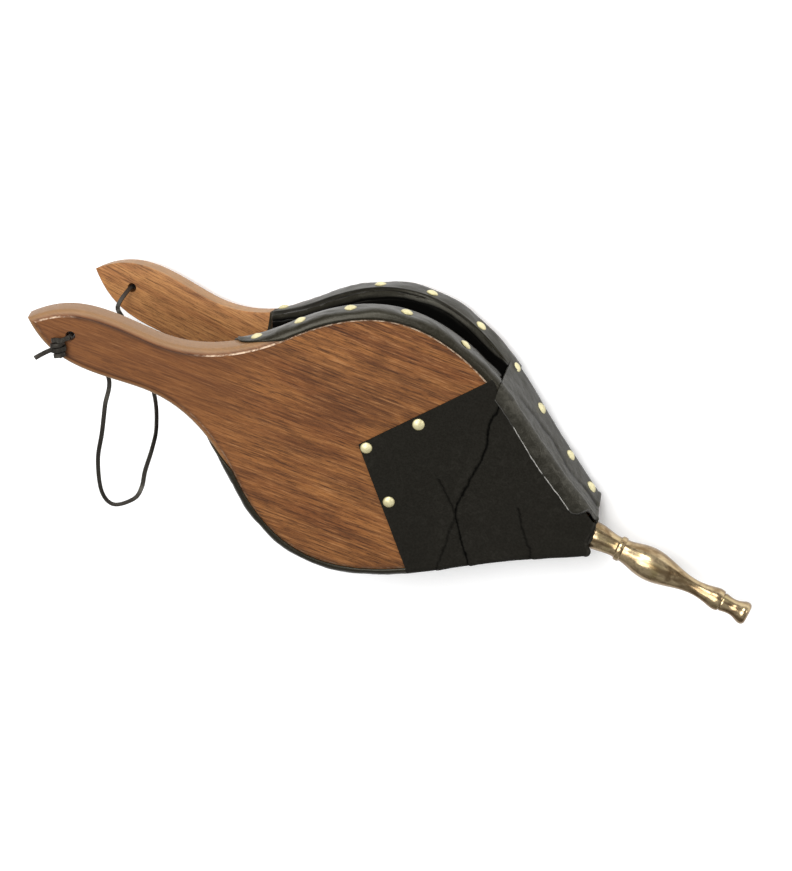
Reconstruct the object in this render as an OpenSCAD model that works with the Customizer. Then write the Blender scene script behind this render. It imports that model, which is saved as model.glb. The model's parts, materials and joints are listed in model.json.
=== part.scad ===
// Fireplace hand bellows: two paddle boards, a leather gusset and a brass nozzle.
// The bellows lies flat on its lower board, with the nozzle pointing along +X.
// The origin is the centre of the nozzle's mouth, and +Z is the side that opens.

/* [Boards] */
// Length of each board, from the handle's tip to the nose
board_len = 366; // [350:1:390]
// Thickness of each board
board_t = 14.5; // [13:0.5:16]
// Largest half width, at the belly
belly_half = 87.5; // [80:0.5:92]
// Largest half width of the handle
handle_half = 18.9; // [16:0.1:21]
// Half width at the waist, where the handle meets the belly
waist_half = 17.5; // [15:0.1:19]
// Half width at the nose
nose_half = 11.5; // [11:0.1:13]
// How far the end of the nose slopes back from the upper face to the lower one
nose_cut = 10.5; // [6:0.5:14]
// How far the upper face comes down from the hinge line to the end of the nose
nose_dip = 14; // [10:0.5:14]
// Radius of the rounded outer edge
edge_r = 3.8; // [2:0.1:5]
// Distance from the handle's tip to the lace hole
lace_hole_u = 28; // [24:1:34]
// Radius of the lace hole
lace_hole_r = 3; // [2.5:0.1:4]

/* [Opening] */
// Angle between the boards at rest
rest_open = 17; // [8:0.5:19]
// Distance from the handle's tip to the hinge line
hinge_u = 280; // [276:1:284]
// Thickness of the nose block, which sets the gap between the boards
block_t = 18.5; // [18:0.5:24]

/* [Nozzle] */
// Length of the nozzle in front of the nose
nozzle_len = 108; // [94:1:124]
// Radius of the air bore
nozzle_bore_r = 3; // [2:0.1:3.5]
// Radius of the tenon in the nose block
tenon_r = 6; // [5:0.1:6.5]
// Length of the tenon
tenon_len = 26; // [20:1:32]

/* [Valve] */
// Distance from the handle's tip to the centre of the air inlet
inlet_u = 182; // [176:1:186]
// Radius of the air inlet
inlet_r = 13; // [10:0.5:14]
// Thickness of the valve's leather flap
flap_t = 2; // [1.5:0.1:2]

/* [Leather] */
// Thickness of the gusset, apron and wrap leather
leather_t = 1.4; // [1:0.1:1.6]
// Distance from the handle's tip to the start of the gusset
gusset_u = 118; // [114:1:124]
// Distance from the handle's tip to the corner of the apron
apron_u = 215; // [210:1:220]
// Half of the angle at the corner of the apron
apron_angle = 50; // [46:1:54]
// Radius of the hanging lace
lace_r = 1.3; // [1:0.1:1.5]

/* [Tacks] */
// Radius of a brass tack's domed head
tack_r = 3.75; // [3:0.05:4]
// Height of the dome
tack_dome = 2; // [1.5:0.1:2.5]
// Radius of a tack's shank
shank_r = 0.8; // [0.6:0.1:0.9]
// Length of a tack's shank
shank_len = 9; // [7:0.5:10]

/* [Hidden] */
$fn = 40;

// A board's places are (u, y, w): u runs from the handle's tip, w up from the inner face.
tip_x = -nozzle_len - board_len;
hinge_x = tip_x + hinge_u;
pivot_z = block_t / 2 + board_t;

dip_slope = nose_dip / (board_len - hinge_u);
nose_over = 3;       // run of the outline past the nose, cut off by the sloping end

// Stations along a board's edge: place, half width and slope of the half width.
STATIONS = [
    [0, 0, 1.05],
    [48, handle_half, 0],
    [80, waist_half, 0],
    [150, 0.605 * belly_half, 1.05],
    [218, belly_half, 0],
    [296, 0.652 * belly_half, -0.72],
    [board_len + nose_over, nose_half - 0.62 * nose_over, -0.62]
];
edge_steps = 9;      // points along each stretch between two stations
round_steps = 3;     // layers in the rounded edge
tip_angle = atan(STATIONS[0][2]);
flat_t = board_t - edge_r;

kerf = 0.3;          // saw cut between the nose cap and the upper board
clear = 0.3;         // gap that keeps soft pieces clear of the boards
film = 0.02;         // gap under leather that lies on the boards
hinge_half = 52;     // half width of the hinge leather, which the apron covers
rebate_len = 18;     // hinge leather's reach behind the hinge line
rebate_front = 12;   // hinge leather's reach in front of it
hinge_t = 1.5;       // hinge leather's thickness
hinge_fold = 0.5;    // room under the hinge leather where it folds
far = 500;           // larger than the whole object

wrap_u = hinge_u + 1;     // start of the wrap on the sides of the nose
wrap_tail = 9;            // how far the wrap's lower edge runs behind that
seat_back = 8;            // the nozzle's base reaches this far behind the nose
seat_u = board_len - seat_back;
airway_r = 4.5;
collar_hole_r = 8.8;      // hole for the nozzle's base in the wrap
screw_u = 318;
screw_y = 22;
screw_len = 20;

flap_len = 46;
flap_w = 44;
flap_pivot_u = inlet_u + flap_len / 2 + 1;
flap_gap = 0.05;          // flap's clearance over the board
backing_t = 1.5;
valve_tack_inset = 3.5;
valve_tack_y = 14;
valve_head_z = 4;         // height of the heads' undersides over the board

UPPER_TACKS_U = [134, 155, 180, 212, 252];
LOWER_TACKS_U = [127, 180, 212, 248];
WRAP_TACKS_U = [278, 303, 332, 352];
APRON_TACKS = [[220, 0], [244, 27], [246, -29]];

// Cubic curve between two stations, its slope, and both found for any place u.
function span(u, i = 0) = i >= len(STATIONS) - 2 || u < STATIONS[i + 1][0] ? i : span(u, i + 1);
function blend_h(a, b, s) = let (d = b[0] - a[0])
    (2 * pow(s, 3) - 3 * s * s + 1) * a[1] + (pow(s, 3) - 2 * s * s + s) * d * a[2]
    + (3 * s * s - 2 * pow(s, 3)) * b[1] + (pow(s, 3) - s * s) * d * b[2];
function blend_slope(a, b, s) = let (d = b[0] - a[0])
    (6 * s * s - 6 * s) * (a[1] - b[1]) / d
    + (3 * s * s - 4 * s + 1) * a[2] + (3 * s * s - 2 * s) * b[2];
function half_width(u) = let (i = span(u), a = STATIONS[i], b = STATIONS[i + 1])
    blend_h(a, b, (u - a[0]) / (b[0] - a[0]));
function slope(u) = let (i = span(u), a = STATIONS[i], b = STATIONS[i + 1])
    blend_slope(a, b, (u - a[0]) / (b[0] - a[0]));
// Outward normal of the edge, and the edge moved inward by inset.
function normal(u) = let (m = slope(u)) [-m, 1] / sqrt(1 + m * m);
function edge_point(u, inset) = [u, half_width(u)] - inset * normal(u);
function stations_u() = [for (i = [0 : len(STATIONS) - 2]) for (j = [0 : edge_steps - 1])
    STATIONS[i][0] + (STATIONS[i + 1][0] - STATIONS[i][0]) * j / edge_steps, board_len];
function side(inset) = [for (u = stations_u()) let (p = edge_point(u, inset)) if (p[1] > 0.4) p];
function outline(inset) = let (s = side(inset), n = len(s)) concat(
    inset < 0 ? [] : [[inset / sin(tip_angle), 0]],
    s,
    [for (i = [n - 1 : -1 : 0]) [s[i][0], -s[i][1]]]);

module slab(inset, w0, w1) {
    translate([0, 0, w0]) linear_extrude(w1 - w0) polygon(outline(inset));
}

module between(u0, u1) {
    intersection() {
        children();
        translate([u0, -far, -far]) cube([u1 - u0, 2 * far, 2 * far]);
    }
}

// Board blank with its outer edge rounded in thin layers.
module blank() {
    slab(0, 0, flat_t);
    for (k = [1 : round_steps])
        slab(edge_r * (1 - cos(90 * (k - 0.5) / round_steps)),
             flat_t + edge_r * sin(90 * (k - 1) / round_steps),
             flat_t + edge_r * sin(90 * k / round_steps));
}

// Everything behind the sloping end of the nose, moved forward by ahead, and under
// the nose's upper face, which comes down from the hinge line, moved up by above.
module behind_nose(ahead = 0, above = 5) {
    slant = nose_cut / (2 * pivot_z - nose_dip);
    tip_z = pivot_z - nose_dip;
    past = (ahead + slant * above) / (1 + slant * dip_slope);
    intersection() {
        children();
        rotate([90, 0, 0]) linear_extrude(2 * far, center = true) polygon([
            [-2 * far, -far],
            [ahead - nozzle_len - slant * (tip_z + far), -far],
            [past - nozzle_len, tip_z + above - dip_slope * past],
            [hinge_x, pivot_z + above],
            [hinge_x, far],
            [-2 * far, far]
        ]);
    }
}

// Places for pieces drawn in (u, y, w).
module on_lower() {
    translate([tip_x, 0, -block_t / 2]) mirror([0, 0, 1]) children();
}

module on_cap() {
    translate([hinge_x, 0, pivot_z]) rotate([0, atan(dip_slope), 0])
        translate([-hinge_u, 0, -board_t]) children();
}

module on_upper() {
    translate([hinge_x, 0, pivot_z]) rotate([0, rest_open, 0])
        translate([-hinge_u, 0, -board_t]) children();
}

module lace_hole() {
    translate([lace_hole_u, 0, -1]) cylinder(r = lace_hole_r, h = board_t + 2);
}

// Tack along +Z with the underside of its head at the origin.
module tack(head_r = tack_r, dome = tack_dome, shank = shank_len) {
    ball_r = (head_r * head_r + dome * dome) / (2 * dome);
    rim = asin(head_r / ball_r);
    rotate_extrude() polygon(concat(
        [[0, -shank], [shank_r * 0.5, -shank + 1], [shank_r, -shank + 2.5], [shank_r, 0]],
        [for (k = [0 : 6]) let (a = rim * (1 - k / 6))
            [ball_r * sin(a), ball_r * cos(a) - ball_r + dome]]));
}

// Tacks driven into a board's edge through leather, on both sides.
module edge_tacks(places) {
    for (u = places) for (s = [1, -1]) {
        n = normal(u);
        p = edge_point(u, -leather_t);
        translate([p[0], s * p[1], flat_t / 2])
            rotate([0, 90, atan2(s * n[1], n[0])]) tack();
    }
}

// Leather turned over both edges of a board, from gusset_u to the nose wrap.
module gusset_edge() {
    between(gusset_u, wrap_u - wrap_tail - 1) difference() {
        slab(-leather_t, clear, flat_t);
        slab(0, 0, board_t);
    }
}

// Square corner that points at the handle, wide enough for the belly.
module corner_region() {
    reach = board_len - apron_u + 10;
    linear_extrude(far, center = true) polygon([
        [apron_u, 0],
        [apron_u + reach, -reach * tan(apron_angle)],
        [apron_u + reach, reach * tan(apron_angle)]
    ]);
}

module lower_board() {
    color("sienna") behind_nose() on_lower() difference() {
        blank();
        lace_hole();
        translate([inlet_u, 0, -1]) cylinder(r = inlet_r, h = board_t + 2);
    }
}

module upper_board() {
    color("sienna") on_upper() difference() {
        between(-1, hinge_u - kerf) blank();
        lace_hole();
        translate([hinge_u - rebate_len, -hinge_half, board_t - hinge_t - hinge_fold])
            cube([rebate_len + 1, 2 * hinge_half, far]);
    }
}

module nose_cap() {
    color("sienna") behind_nose() intersection() {
        on_cap() difference() {
            blank();
            translate([hinge_u - board_t, -hinge_half, board_t - hinge_t])
                cube([rebate_front + board_t, 2 * hinge_half, far]);
        }
        translate([hinge_x, -far, block_t / 2]) cube([far, 2 * far, far]);
    }
}

module nose_block() {
    color("peru") difference() {
        translate([tip_x, 0, 0]) between(wrap_u, seat_u)
            slab(0, -block_t / 2, block_t / 2);
        translate([-nozzle_len - tenon_len, 0, 0]) rotate([0, 90, 0])
            cylinder(r = tenon_r, h = tenon_len + 1);
        translate([hinge_x, 0, 0]) rotate([0, 90, 0])
            cylinder(r = airway_r, h = board_len - hinge_u);
    }
}

// Countersunk screws that hold the block to the lower board and the cap to the block.
module nose_screws() {
    color("gray") for (s = [1, -1]) {
        on_lower() screw(s);
        on_cap() screw(s);
    }
}

module screw(s) {
    translate([screw_u, s * screw_y, board_t]) rotate_extrude()
        polygon([[0, 0], [4, 0], [1.9, -2.4], [1.9, -screw_len + 5], [0, -screw_len + 2]]);
}

// Turned nozzle, as radius and distance behind the mouth, with its tenon.
module nozzle() {
    back = nozzle_len;
    neck_z = 12;              // neck behind the flared mouth
    ring_z = back * 0.193;     // small ring
    waist_z = back * 0.352;   // thinnest place of the stem
    belly_z = back * 0.621;   // thickest place of the stem
    collar_z = back * 0.804;  // ring near the nose
    neck_r = 4.3;
    waist_r = 4.2;
    belly_r = 9.5;
    collar_r = 6.5;
    base_r = 8.6;
    color("darkgoldenrod") rotate([0, -90, 0]) rotate_extrude() polygon(concat(
        [[nozzle_bore_r, 0]],
        [for (a = [-75 : 25 : 75]) [neck_r + 1.3 * cos(a), 1.6 + 1.6 * sin(a) / sin(75)]],
        [for (z = [6 : 3 : neck_z]) [neck_r + 0.02 * pow(neck_z - z, 1.5), z]],
        bead(neck_r + 0.5, 1.3, ring_z, 2.2),
        [for (k = [0 : 10]) let (s = k / 10)
            [waist_r + (belly_r - waist_r) * (1 - cos(180 * s)) / 2,
             waist_z + s * (belly_z - waist_z)]],
        [for (k = [1 : 8]) let (s = k / 8)
            [collar_r + (belly_r - collar_r) * (1 + cos(180 * s)) / 2,
             belly_z + s * (collar_z - 3 - belly_z)]],
        bead(collar_r, 1, collar_z, 1.8),
        [for (k = [0 : 6]) let (s = k / 6)
            [collar_r - 0.2 + (base_r - collar_r + 0.2) * (1 - cos(180 * s)) / 2,
             collar_z + 4 + s * (back - 3 - collar_z - 4)]],
        [[base_r, back], [base_r, back + seat_back],
         [tenon_r, back + seat_back], [tenon_r, back + tenon_len],
         [nozzle_bore_r, back + tenon_len]]));
}

// Points of a half-round ring on a turned profile.
function bead(r, height, z, half_len) =
    [for (a = [-90 : 30 : 90]) [r + height * cos(a), z + half_len * sin(a)]];

module valve_flap() {
    color("dimgray") translate([tip_x, 0, -block_t / 2 + flap_gap]) difference() {
        translate([flap_pivot_u - flap_len, -flap_w / 2, 0]) cube([flap_len, flap_w, flap_t]);
        for (s = [1, -1]) translate([flap_pivot_u - valve_tack_inset, s * valve_tack_y, -1])
            cylinder(r = shank_r + 1, h = flap_t + 2);
    }
}

module valve_backing() {
    margin = 6;
    color("burlywood") translate([tip_x + flap_pivot_u - flap_len + margin / 2,
                                  -flap_w / 2 + margin, -block_t / 2 + flap_gap + flap_t])
        cube([flap_len - 2 * margin - 4, flap_w - 2 * margin, backing_t]);
}

module valve_tacks() {
    color("gold") for (s = [1, -1])
        translate([tip_x + flap_pivot_u - valve_tack_inset, s * valve_tack_y,
                   -block_t / 2 + valve_head_z])
            tack(head_r = 2.4, dome = 1.2, shank = 11);
}

// Hinge leather, glued into a shallow rebate across the joint.
module hinge_leather() {
    color("black") {
        on_cap() hinge_strip(hinge_u - 1, hinge_u + rebate_front);
        on_upper() hinge_strip(hinge_u - rebate_len, hinge_u);
    }
}

module hinge_strip(u0, u1) {
    translate([u0, -hinge_half + film, board_t - hinge_t])
        cube([u1 - u0, 2 * (hinge_half - film), hinge_t]);
}

// Wall of the air chamber, inside the boards' edges, with its end across the waist.
module gusset_wall() {
    inset = 4;
    color("black") intersection() {
        translate([tip_x, 0, 0]) between(gusset_u, hinge_u - 1) difference() {
            slab(inset, -block_t / 2 + clear, far / 2);
            between(gusset_u + leather_t + 1, far)
                slab(inset + leather_t + 1, -far / 2, far);
        }
        on_upper() translate([-far, -far, -far - clear]) cube([2 * far, 2 * far, far]);
    }
}

module gusset_edge_lower() {
    color("black") on_lower() gusset_edge();
}

module gusset_edge_upper() {
    color("black") on_upper() gusset_edge();
}

module edge_tacks_lower() {
    color("gold") on_lower() edge_tacks(LOWER_TACKS_U);
}

module edge_tacks_upper() {
    color("gold") on_upper() edge_tacks(UPPER_TACKS_U);
}

// Leather over the nose cap and across the hinge, with its corner on the upper board.
module apron() {
    color("black") difference() {
        union() {
            behind_nose(leather_t) on_cap() between(hinge_u, far)
                slab(0, board_t + film, board_t + leather_t);
            on_upper() intersection() {
                between(apron_u, hinge_u) slab(0, board_t + film, board_t + leather_t);
                corner_region();
            }
        }
        on_upper() for (p = APRON_TACKS)
            translate([p[0], p[1], 0]) cylinder(r = shank_r + 0.3, h = 2 * board_t);
    }
}

module apron_tacks() {
    color("gold") on_upper() for (p = APRON_TACKS)
        translate([p[0], p[1], board_t + leather_t]) tack();
}

// Leather under the nose, turned up over its sides and round its end.
module nose_wrap() {
    color("black") {
        behind_nose(leather_t) on_lower() intersection() {
            between(apron_u, far)
                slab(-leather_t, board_t + film, board_t + leather_t);
            corner_region();
        }
        difference() {
            behind_nose(leather_t, 0) translate([tip_x, 0, 0]) {
                between(wrap_u - wrap_tail, far)
                    slab(-leather_t, -pivot_z - leather_t / 2, -block_t / 2 + flat_t / 2);
                between(wrap_u, far)
                    slab(-leather_t, -pivot_z - leather_t / 2, pivot_z);
            }
            behind_nose(film) translate([tip_x, 0, 0]) slab(-film, -pivot_z - film, far);
            translate([tip_x + seat_u - 5, 0, 0]) rotate([0, 90, 0])
                cylinder(r = collar_hole_r, h = 20);
        }
    }
}

module wrap_face_tacks() {
    color("gold") on_lower() for (p = APRON_TACKS)
        translate([p[0], p[1], board_t + leather_t]) tack();
}

module wrap_edge_tacks() {
    color("gold") on_lower() edge_tacks(WRAP_TACKS_U);
}

// The lace's ends at the two handles, and the direction in which its loop hangs.
lace_top = let (a = rest_open, du = lace_hole_u - hinge_u)
    [hinge_x + du * cos(a) - board_t * sin(a), 0, pivot_z - du * sin(a) - board_t * cos(a)];
lace_low = [tip_x + lace_hole_u, 0, -block_t / 2];
lace_mid = (lace_top + lace_low) / 2;
lace_hang = [66, -104, 17];
lace_up = [sin(rest_open), 0, cos(rest_open)];
lace_half = norm(lace_top - lace_low) / 2;
// Place on the loop: t from 0 at the upper handle to 1 at the lower one.
function lace_loop(t) = let (c = cos(180 * t), spread = 0.4 * sqrt(abs(c)) + 0.2 * pow(abs(c), 5))
    lace_mid + lace_hang * pow(sin(180 * t), 0.8) + [0, 0, sign(c) * lace_half * spread];

module rod(p, q) {
    d = q - p;
    translate(p) rotate([0, acos(d[2] / norm(d)), atan2(d[1], d[0])])
        cylinder(r = lace_r, h = norm(d), $fn = 24);
}

module hang_lace() {
    run = concat(
        [lace_top + lace_up * (board_t + 3), lace_top - lace_up * 6],
        [for (t = [1 : 11]) lace_loop(t / 12)],
        [lace_low + [0, 0, 6], lace_low - [0, 0, board_t + 3]]);
    color("black") for (i = [0 : len(run) - 2]) {
        rod(run[i], run[i + 1]);
        if (i > 0) translate(run[i]) sphere(r = 1.08 * lace_r, $fn = 24);
    }
}

// Overhand knot on a handle's outer face, with its tail.
module knot() {
    cord = 2;
    translate([lace_hole_u, 0, board_t + cord]) {
        rotate_extrude() translate([lace_r + cord + 0.2, 0]) circle(r = cord, $fn = 24);
        rotate([0, -90, 20]) translate([0, 0, lace_r + cord])
            cylinder(r = lace_r, h = 14, $fn = 24);
    }
}

module lace_knot_lower() {
    color("black") on_lower() knot();
}

module lace_knot_upper() {
    color("black") on_upper() knot();
}

lower_board();
upper_board();
nose_block();
nose_cap();
nozzle();
nose_screws();
valve_flap();
valve_backing();
valve_tacks();
hinge_leather();
gusset_wall();
gusset_edge_lower();
gusset_edge_upper();
edge_tacks_lower();
edge_tacks_upper();
apron();
apron_tacks();
nose_wrap();
wrap_face_tacks();
wrap_edge_tacks();
hang_lace();
lace_knot_lower();
lace_knot_upper();
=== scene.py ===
import json
import random
from math import asin, atan, cos, exp, hypot, pi, radians, sin, tan

import bpy
import bmesh
import numpy as np
from mathutils import Matrix, Vector, noise


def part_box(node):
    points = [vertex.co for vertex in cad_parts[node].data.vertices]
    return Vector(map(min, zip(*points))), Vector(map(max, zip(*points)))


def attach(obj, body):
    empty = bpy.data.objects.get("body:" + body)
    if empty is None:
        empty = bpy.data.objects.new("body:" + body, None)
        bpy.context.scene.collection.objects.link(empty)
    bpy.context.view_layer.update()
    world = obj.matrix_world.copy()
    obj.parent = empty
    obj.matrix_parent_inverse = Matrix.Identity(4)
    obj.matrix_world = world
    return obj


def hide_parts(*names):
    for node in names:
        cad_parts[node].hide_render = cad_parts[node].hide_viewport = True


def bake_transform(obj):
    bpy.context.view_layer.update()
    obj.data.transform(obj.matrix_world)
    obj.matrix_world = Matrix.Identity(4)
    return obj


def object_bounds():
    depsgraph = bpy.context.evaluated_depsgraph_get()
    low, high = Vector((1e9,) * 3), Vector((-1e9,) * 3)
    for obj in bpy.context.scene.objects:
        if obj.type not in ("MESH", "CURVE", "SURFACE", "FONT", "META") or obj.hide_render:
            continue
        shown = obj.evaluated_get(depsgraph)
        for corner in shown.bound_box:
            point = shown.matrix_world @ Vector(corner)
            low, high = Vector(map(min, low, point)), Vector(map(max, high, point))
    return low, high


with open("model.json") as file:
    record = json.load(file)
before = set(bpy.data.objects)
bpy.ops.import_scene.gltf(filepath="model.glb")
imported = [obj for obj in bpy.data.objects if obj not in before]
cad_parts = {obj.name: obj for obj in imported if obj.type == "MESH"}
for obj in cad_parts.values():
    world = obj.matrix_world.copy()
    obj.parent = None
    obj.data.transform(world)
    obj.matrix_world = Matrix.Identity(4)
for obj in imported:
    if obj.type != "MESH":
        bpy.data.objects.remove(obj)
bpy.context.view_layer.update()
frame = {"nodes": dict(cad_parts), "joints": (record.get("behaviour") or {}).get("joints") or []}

# Hand bellows. Shapes are worked out in millimetres and written to the meshes in metres.
MM = 0.001
DICE = random.Random(7)
scene = bpy.context.scene


# ---- sizes from the frame
board_low, board_high = (np.array(corner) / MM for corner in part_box("lower_board"))
hinge = next(j for j in frame["joints"] if j["name"] == "board_hinge")
TIP_X = board_low[0]
NOZZLE_LEN = 108  # from the nose to the mouth at x = 0
NOSE_X = -NOZZLE_LEN
BOARD_LEN = NOSE_X - TIP_X
BOARD_T = board_high[2] - board_low[2]
BELLY = board_high[1]
BLOCK_T = -2 * board_high[2]
HINGE_X = hinge["pos_m"][0] / MM
PIVOT_Z = hinge["pos_m"][2] / MM
HINGE_U = HINGE_X - TIP_X
OPEN_ANGLE = radians(-hinge["range_deg"][0])

# The boards. A board's places are (u, y, w): u from the handle's tip, w up from the inner face.
HANDLE, WAIST, NOSE = 18.9, 17.5, 11.5  # half widths
TIP_SLOPE, BELLY_SLOPE, NOSE_SLOPE = 1.05, -0.72, -0.62
NOSE_OVER = 3  # the outline runs on past the nose
STATIONS = np.array([  # place, half width, slope
    (0, 0, TIP_SLOPE),
    (48, HANDLE, 0),
    (80, WAIST, 0),
    (150, 0.605 * BELLY, 1.05),
    (218, BELLY, 0),
    (296, 0.652 * BELLY, BELLY_SLOPE),
    (BOARD_LEN + NOSE_OVER, NOSE + NOSE_SLOPE * NOSE_OVER, NOSE_SLOPE),
])
EDGE_R = 3.8  # rounded outer edge
FLAT_T = BOARD_T - EDGE_R
SHOULDER = 0.5  # routed step between the rounding and the face
EDGE_SHARP = 32  # degrees; a wooden edge above this stays sharp
HOLE_U, HOLE_R = 28, 3
INLET_U, INLET_R = 182, 13
KERF = 0.3
REBATE_BACK, REBATE_FRONT, REBATE_T = 18, 12, 2
STRIP_HALF = 52  # half width of the hinge leather
NOSE_DIP = 14  # the upper face is this much lower at the nose
NOSE_TOP = PIVOT_Z - NOSE_DIP
DIP_SLOPE = NOSE_DIP / (BOARD_LEN - HINGE_U)
DIP_ANGLE = atan(DIP_SLOPE)
NOSE_SLANT = (NOSE_X - board_high[0]) / (NOSE_TOP + BLOCK_T / 2)

# The leather.
HIDE = 1.2  # thickness
LAYER = 1.4  # outer face of one layer over the wood
SECOND = 0.7  # how much higher a layer lies over another one
QUARTER = (EDGE_R + LAYER) * pi / 2  # length of leather round an edge
BAND_START = {"lower": 122.5, "upper": 123}  # where the gusset's bands begin at the waist
BAND_RAMP = 25  # length over which a band reaches its full width
BAND_LEAST = 2  # its width there
BAND_TURN = radians(82)  # how far a band goes round the rounded edge
GUSSET_END = HINGE_U + 0.6
APRON_U = 215  # corner of the apron
APRON_SLOPE = tan(radians(50))
FLAP_U = HINGE_U + 1.2  # rear top corner of the wrap's side flaps
SLOPE_FROM = 300  # the leather begins to lean towards the sloping end

# The photo's view.
VIEW_RIGHT = Vector((0.87349, 0.35976, -0.328))
VIEW_UP = Vector((-0.45537, 0.84205, -0.28911))
VIEW_BACK = VIEW_RIGHT.cross(VIEW_UP)


# ---- places and curves
def stack(x, y, z):
    return np.stack(np.broadcast_arrays(x, y, z), -1).astype(float)


def unit(v):
    return v / np.linalg.norm(v, axis=-1, keepdims=True)


def smooth(t):
    t = np.clip(t, 0, 1)
    return t * t * (3 - 2 * t)


def hump(x, width):
    """1 at x = 0, falling away on both sides."""
    return np.exp(-(x / width)**2)


def angles(count):
    return [2 * pi * k / count for k in range(count)]


def edge(u):
    """Half width of a board at u, and its slope."""
    u = np.asarray(u, float)
    i = np.clip(np.searchsorted(STATIONS[:, 0], u, side="right") - 1, 0, len(STATIONS) - 2)
    u0, h0, m0 = (STATIONS[i, k] for k in range(3))
    u1, h1, m1 = (STATIONS[i + 1, k] for k in range(3))
    d = u1 - u0
    t = (u - u0) / d
    half = ((2 * t**3 - 3 * t**2 + 1) * h0 + (t**3 - 2 * t**2 + t) * d * m0
            + (3 * t**2 - 2 * t**3) * h1 + (t**3 - t**2) * d * m1)
    slope = (6 * t**2 - 6 * t) * (h0 - h1) / d + (3 * t**2 - 4 * t + 1) * m0 + (3 * t**2 - 2 * t) * m1
    return half, slope


def side_y(u, inset):
    """Half width at u of the outline moved in by inset."""
    half, slope = edge(u)
    return half - inset * np.sqrt(1 + slope**2)


def on_lower(u, y, w):
    return stack(TIP_X + u, y, -BLOCK_T / 2 - w)


def tilted(u, y, w, angle):
    along, up = u - HINGE_U, w - BOARD_T
    c, s = cos(angle), sin(angle)
    return stack(HINGE_X + along * c + up * s, y, PIVOT_Z - along * s + up * c)


def on_cap(u, y, w):
    return tilted(u, y, w, DIP_ANGLE)


def on_upper(u, y, w):
    return tilted(u, y, w, OPEN_ANGLE)


def on_top(u, y, w):
    """Places on the upper board, and on the nose cap past the hinge."""
    return np.where((u < HINGE_U)[..., None], on_upper(u, y, w), on_cap(u, y, w))


def cap_place(x, z):
    """(u, w) on the nose cap of a place in the frame."""
    c, s = cos(DIP_ANGLE), sin(DIP_ANGLE)
    along, up = x - HINGE_X, z - PIVOT_Z
    return HINGE_U + along * c - up * s, BOARD_T + along * s + up * c


def nose_end(z):
    """x of the nose's sloping end at a height."""
    return NOSE_X - NOSE_SLANT * (NOSE_TOP - z)


def round_edge(reach, off):
    """Inset and w at a distance reach round a board's side from its inner edge, off above the wood."""
    radius = EDGE_R + off
    turn = np.clip((reach - FLAT_T) / radius, 0, pi / 2)
    past = np.maximum(reach - FLAT_T - radius * pi / 2, 0)
    inset = EDGE_R - radius * np.cos(turn) + past
    w = np.minimum(reach, FLAT_T) + radius * np.sin(turn)
    return inset, w


def uneven(points, size, octaves, seed):
    """Smooth random values, about -1 to 1, at points in millimetres."""
    flat = np.asarray(points, float).reshape(-1, 3) / size + seed
    values = [noise.fractal(Vector(p), 0.8, 2, octaves) for p in flat]
    return np.array(values).reshape(np.asarray(points).shape[:-1])


def catmull(points, steps):
    """Smooth curve through points."""
    p = np.asarray(points, float)
    p = np.vstack([2 * p[0] - p[1], p, 2 * p[-1] - p[-2]])
    run = []
    for a, b, c, d in zip(p, p[1:], p[2:], p[3:]):
        for t in (k / steps for k in range(steps)):
            run.append(0.5 * (2 * b + (c - a) * t + (2 * a - 5 * b + 4 * c - d) * t**2
                              + (3 * b - a - 3 * c + d) * t**3))
    return np.array(run + [p[-2]])


def lengths(path):
    return np.hstack([0, np.cumsum(np.linalg.norm(np.diff(path, axis=0), axis=1))])


def nearest(points, spots):
    """Distance from each point to the nearest spot."""
    return np.min([np.linalg.norm(points - s, axis=-1) for s in spots], axis=0)


# ---- mesh helpers
def shade_edges(mesh, sharp):
    mesh.shade_smooth()
    mesh.set_sharp_from_angle(angle=radians(sharp))


def add_object(name, data):
    obj = bpy.data.objects.new(name, data)
    scene.collection.objects.link(obj)
    return obj


def modify(obj, name, kind, **settings):
    m = obj.modifiers.new(name, kind)
    for key, value in settings.items():
        setattr(m, key, value)


def add_mesh(name, points, faces, sharp=40):
    mesh = bpy.data.meshes.new(name)
    mesh.from_pydata((np.asarray(points, float).reshape(-1, 3) * MM).tolist(), [], faces)
    mesh.update()
    shade_edges(mesh, sharp)
    return add_object(name, mesh)


def grid(rows, cols, wrap=False, closed=False, start=0, flip=False):
    """Quads of a grid whose rows (wrap) or columns (closed) may join up at their ends."""
    faces = []
    for r in range(rows if closed else rows - 1):
        s = (r + 1) % rows
        for c in range(cols if wrap else cols - 1):
            d = (c + 1) % cols
            quad = (r * cols + c, r * cols + d, s * cols + d, s * cols + c)
            faces.append(tuple(start + k for k in (quad[::-1] if flip else quad)))
    return faces


def tube(rows, cols):
    """Sides and both ends of a closed tube."""
    last = (rows - 1) * cols
    ends = [tuple(range(cols)), tuple(range(last, last + cols))[::-1]]
    return grid(rows, cols, wrap=True) + ends


def store(obj, **named):
    """Stores one number, or one vector, per vertex for a material to read."""
    for name, values in named.items():
        values = np.asarray(values, np.float32)
        vector = values.ndim > 1 and values.shape[-1] == 3
        kind, field = ("FLOAT_VECTOR", "vector") if vector else ("FLOAT", "value")
        attribute = obj.data.attributes.new(name, kind, "POINT")
        attribute.data.foreach_set(field, values.ravel())


def tidy(obj, distance=0.0005):
    """Merges doubled points and makes a closed mesh's faces point outward."""
    bm = bmesh.new()
    bm.from_mesh(obj.data)
    bmesh.ops.remove_doubles(bm, verts=bm.verts, dist=distance * MM)
    bmesh.ops.dissolve_degenerate(bm, edges=bm.edges, dist=distance * MM)
    bmesh.ops.recalc_face_normals(bm, faces=bm.faces)
    bm.to_mesh(obj.data)
    bm.free()


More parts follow.
